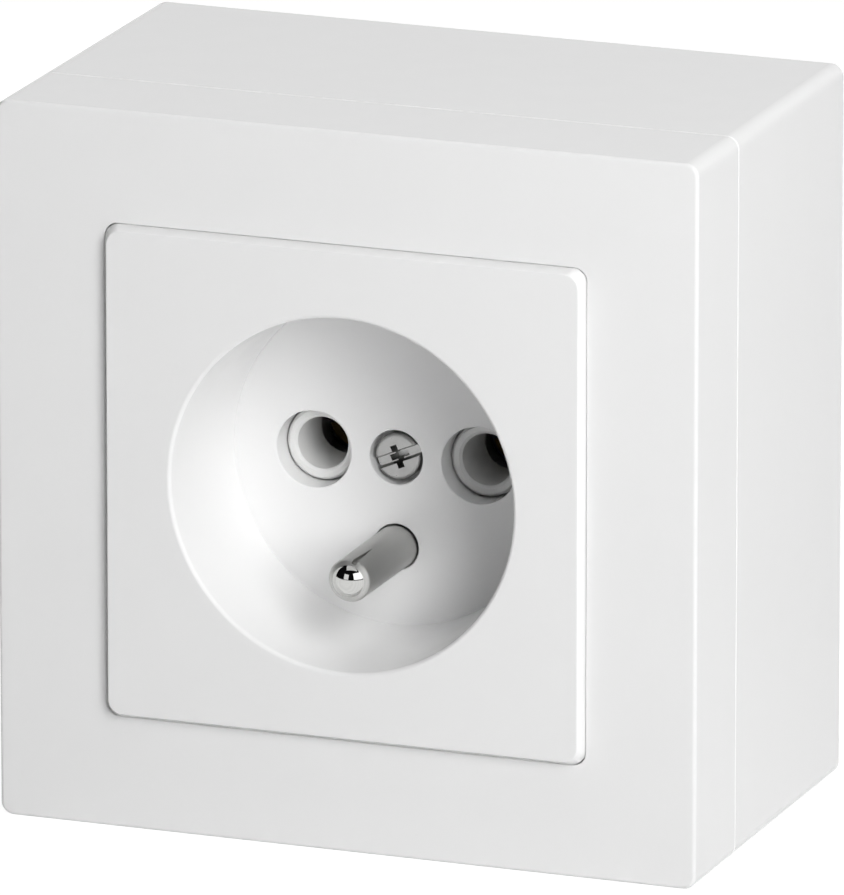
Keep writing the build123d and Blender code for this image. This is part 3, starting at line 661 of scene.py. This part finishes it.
for size, narrowing in cutters:
    cutter = wedge("cutter", size, narrowing, DRIVER_TURN, (0, -SCREW_FACE, 0))
    combine(cover_screw, cutter, "DIFFERENCE")
stand_in(cover_screw, "cover_screw", "zinc_steel")

# %% [markdown]
# The socket stands on a pale floor. A photograph's floor is white because it is lit strongly, but more light would
# also bleach the object, so the floor glows a little instead: what the lamps leave short of white is added as
# emission, and the object's soft shadow still darkens the part that the lamps give. Other rays see a plain floor.

# %% Pale floor
FLOOR_SIZE = 4.0
FLOOR_TONE = 0.15
FLOOR_GLOW = 0.95
PLAIN_FLOOR = "#E4E4E4"

bpy.ops.object.select_all(action="DESELECT")
bpy.ops.mesh.primitive_plane_add(size=FLOOR_SIZE, location=(0, 0, floor_level))
floor = bpy.context.object
floor.name = "floor"
floor_paper, tree = new_material("floor_paper")
path = add_node(tree, "ShaderNodeLightPath")
seen = add_node(tree, "ShaderNodeMath", {"operation": "MAXIMUM"})
tree.links.new(path.outputs["Is Camera Ray"], seen.inputs[0])
tree.links.new(path.outputs["Is Glossy Ray"], seen.inputs[1])
shaded = add_node(tree, "ShaderNodeBsdfDiffuse", numbers={"Color": (FLOOR_TONE, FLOOR_TONE, FLOOR_TONE, 1)})
glow = add_node(tree, "ShaderNodeEmission", numbers={"Color": (1, 1, 1, 1), "Strength": FLOOR_GLOW})
white = add_node(tree, "ShaderNodeAddShader")
tree.links.new(shaded.outputs["BSDF"], white.inputs[0])
tree.links.new(glow.outputs["Emission"], white.inputs[1])
plain = add_node(tree, "ShaderNodeBsdfDiffuse", numbers={"Color": screen_colour(PLAIN_FLOOR)})
mixed = add_node(tree, "ShaderNodeMixShader", joins={"Fac": seen.outputs["Value"]})
tree.links.new(plain.outputs["BSDF"], mixed.inputs[1])
tree.links.new(white.outputs["Shader"], mixed.inputs[2])
add_node(tree, "ShaderNodeOutputMaterial", joins={"Surface": mixed.outputs["Shader"]})
floor.data.materials.append(floor_paper)
print("floor at z, mm:", round(floor_level / MM, 2))

# %% [markdown]
# The room is an even white tent. Its own light on the object is very weak, since the soft boxes do the lighting, and
# only what the camera or a mirror looks at directly is pure white.

# %% White surroundings
TENT_LIGHT = 0.02

world = bpy.data.worlds.new("white_tent")
bpy.context.scene.world = world
world.use_nodes = True
world.node_tree.nodes.clear()
tree = world.node_tree
path = add_node(tree, "ShaderNodeLightPath")
seen = add_node(tree, "ShaderNodeMath", {"operation": "MAXIMUM"})
tree.links.new(path.outputs["Is Camera Ray"], seen.inputs[0])
tree.links.new(path.outputs["Is Glossy Ray"], seen.inputs[1])
seen_through = add_node(
    tree, "ShaderNodeMath", {"operation": "MAXIMUM"}, joins={0: seen.outputs["Value"]},
)
tree.links.new(path.outputs["Is Transmission Ray"], seen_through.inputs[1])
strength = add_node(
    tree, "ShaderNodeMapRange", numbers={"To Min": TENT_LIGHT, "To Max": 1.0},
    joins={"Value": seen_through.outputs["Value"]},
)
tent = add_node(
    tree, "ShaderNodeBackground", numbers={"Color": (1, 1, 1, 1)}, joins={"Strength": strength.outputs["Result"]},
)
add_node(tree, "ShaderNodeOutputWorld", joins={"Surface": tent.outputs["Background"]})
print("tent light on the object:", TENT_LIGHT)

# %% [markdown]
# The light comes from soft boxes, as in a studio. Two tall ones stand to the right in front, one over the other:
# they light the left wall of the recess and leave the right of its floor in soft shade. A weak one hangs overhead,
# and one high up behind the socket keeps its top bright. A lamp's power follows from the level that we want: a lamp
# of power P at distance d shows a white card that faces it at P / (pi d)^2. Seen directly, all four are two to six
# times as bright as white, so mirror rays don't see them.

# %% Soft boxes
LAMP_DISTANCE = 0.8


def direction(azimuth, elevation):
    """The way from the socket to a lamp or a card. Azimuth 0 is straight in front and grows to the right."""
    return Vector((
        sin(radians(azimuth)) * cos(radians(elevation)),
        -cos(radians(azimuth)) * cos(radians(elevation)),
        sin(radians(elevation)),
    ))


def soft_box(name, azimuth, elevation, width, height, level):
    """Hang a rectangular lamp round the socket, turned to it."""
    way = direction(azimuth, elevation)
    lamp = bpy.data.lights.new(name, "AREA")
    lamp.shape = "RECTANGLE"
    lamp.size = width
    lamp.size_y = height
    lamp.energy = level * (pi * LAMP_DISTANCE) ** 2
    holder = bpy.data.objects.new(name, lamp)
    bpy.context.scene.collection.objects.link(holder)
    holder.location = way * LAMP_DISTANCE
    holder.rotation_euler = way.to_track_quat("Z", "Y").to_euler()
    print(name, "power, W:", round(lamp.energy, 2))
    return holder


lamps = [
    soft_box("key_box", azimuth=45, elevation=23, width=0.35, height=0.60, level=0.61),
    soft_box("high_box", azimuth=40, elevation=30, width=0.35, height=0.60, level=0.30),
    soft_box("top_box", azimuth=0, elevation=75, width=0.30, height=0.30, level=0.10),
    soft_box("back_box", azimuth=180, elevation=70, width=0.30, height=0.30, level=0.26),
]
for lamp in lamps:
    lamp.visible_glossy = False

# %% [markdown]
# Polished metal shows its surroundings, and in a room that is white all over it looks like plaster. Photographers
# hang a black cloth round it, so that the metal gets dark parts beside its bright ones. The cloth is a big ball, cut
# by two planes: a slanted one opens it at the back and overhead, and a level one keeps the part above the floor.
# Only mirror rays see it: it casts no shadow, and the light on the plastic stays as it is.

# %% Black cloth for the reflections
CLOTH_RADIUS = 1.3
CLOTH_FOOT = 0.02
CLOTH_BACK = 0.75
CLOTH_SLANT = (0, 1, 0.7)
WEAVE_PATCH = 40 * MM

bpy.ops.object.select_all(action="DESELECT")
bpy.ops.mesh.primitive_uv_sphere_add(segments=64, ring_count=32, radius=CLOTH_RADIUS, location=(0, 0, 0))
cloth = bpy.context.object
cloth.name = "black_cloth"
bpy.ops.object.mode_set(mode="EDIT")
bpy.ops.mesh.select_all(action="SELECT")
bpy.ops.mesh.bisect(plane_co=(0, CLOTH_BACK, 0), plane_no=CLOTH_SLANT, clear_outer=True)
bpy.ops.mesh.select_all(action="SELECT")
bpy.ops.mesh.bisect(plane_co=(0, 0, CLOTH_FOOT), plane_no=(0, 0, 1), clear_inner=True)
bpy.ops.object.mode_set(mode="OBJECT")
black_cotton, tree = new_material("black_cotton_cloth")
weave = add_node(tree, "ShaderNodeTexNoise", numbers={"Scale": 1 / WEAVE_PATCH, "Detail": 2.0})
shade = add_node(tree, "ShaderNodeMix", {"data_type": "RGBA"}, joins={"Factor": weave.outputs["Fac"]})
shade.inputs["A"].default_value = screen_colour("#0A0A0A")
shade.inputs["B"].default_value = screen_colour("#161616")
cotton = add_node(tree, "ShaderNodeEmission", numbers={"Strength": 1.0}, joins={"Color": shade.outputs["Result"]})
add_node(tree, "ShaderNodeOutputMaterial", joins={"Surface": cotton.outputs["Emission"]})
cloth.data.materials.append(black_cotton)


def mirror_rays_only(thing):
    """Stage a thing so that only mirror rays see it."""
    thing.visible_camera = False
    thing.visible_diffuse = False
    thing.visible_shadow = False
    thing.visible_transmission = False


mirror_rays_only(cloth)
print("black cloth, faces:", len(cloth.data.polygons))

# %% [markdown]
# The polished cap of the pin shows what stands round the socket: a large white window at the right, a smaller one
# at the left and a dull grey patch from above. Mirror rays see a white card for each of them, hung in front of the
# cloth and turned to the socket. A card's place follows from the cap: the ray from the camera, thrown back by the
# dome where the window is seen, points to it.

# %% White cards for the reflections
CARD_DISTANCE = 1.0
PULP_PATCH = 60 * MM


def reflection_card(name, azimuth, elevation, width, height, glow):
    """Hang a glowing card for the mirror rays, placed by the same angles as a soft box."""
    paper, tree = new_material(name + "_paper")
    pulp = add_node(tree, "ShaderNodeTexNoise", numbers={"Scale": 1 / PULP_PATCH, "Detail": 2.0})
    shade = add_node(tree, "ShaderNodeMix", {"data_type": "RGBA"}, joins={"Factor": pulp.outputs["Fac"]})
    shade.inputs["A"].default_value = screen_colour("#FFFFFF")
    shade.inputs["B"].default_value = screen_colour("#F4F4F4")
    lit = add_node(tree, "ShaderNodeEmission", numbers={"Strength": glow}, joins={"Color": shade.outputs["Result"]})
    add_node(tree, "ShaderNodeOutputMaterial", joins={"Surface": lit.outputs["Emission"]})
    way = direction(azimuth, elevation)
    bpy.ops.object.select_all(action="DESELECT")
    bpy.ops.mesh.primitive_plane_add(size=1, location=way * CARD_DISTANCE)
    card = bpy.context.object
    card.name = name
    card.scale = (width, height, 1)
    card.rotation_euler = way.to_track_quat("Z", "Y").to_euler()
    card.data.materials.append(paper)
    mirror_rays_only(card)
    print(name, "at, m:", [round(v, 2) for v in card.location])


reflection_card("right_card", azimuth=46, elevation=22, width=0.80, height=0.62, glow=2.0)
reflection_card("left_card", azimuth=-17, elevation=16, width=0.42, height=0.46, glow=1.1)
reflection_card("high_card", azimuth=9, elevation=70, width=1.00, height=0.60, glow=0.8)

# %% [markdown]
# The picture was taken from a little to the right and above, with a long lens far away: the edges that run into
# the depth stay almost parallel. The camera turns by yaw round the vertical and by pitch above the level, and it
# aims a little off the centre of the socket, so that the frame is filled as in the photograph.

# %% Camera
YAW = radians(20.75)
PITCH = radians(15.606)
DISTANCE = 1752.1 * MM
AIM_RIGHT = -8.12 * MM
AIM_UP = -6.664 * MM
LENS = 643.58
SENSOR = 36.0

right = Vector((cos(YAW), sin(YAW), 0))
back = Vector((sin(YAW) * cos(PITCH), -cos(YAW) * cos(PITCH), sin(PITCH)))
up = back.cross(right)
turn = Matrix((right, up, back)).transposed()
camera_data = bpy.data.cameras.new("camera")
camera_data.sensor_width = SENSOR
camera_data.lens = LENS
camera = bpy.data.objects.new("camera", camera_data)
bpy.context.scene.collection.objects.link(camera)
camera.rotation_euler = turn.to_euler()
camera.location = back * DISTANCE + right * AIM_RIGHT + up * AIM_UP
bpy.context.scene.camera = camera
bpy.context.scene.view_settings.view_transform = "Standard"
print("camera at, mm:", [round(v / MM, 1) for v in camera.location])
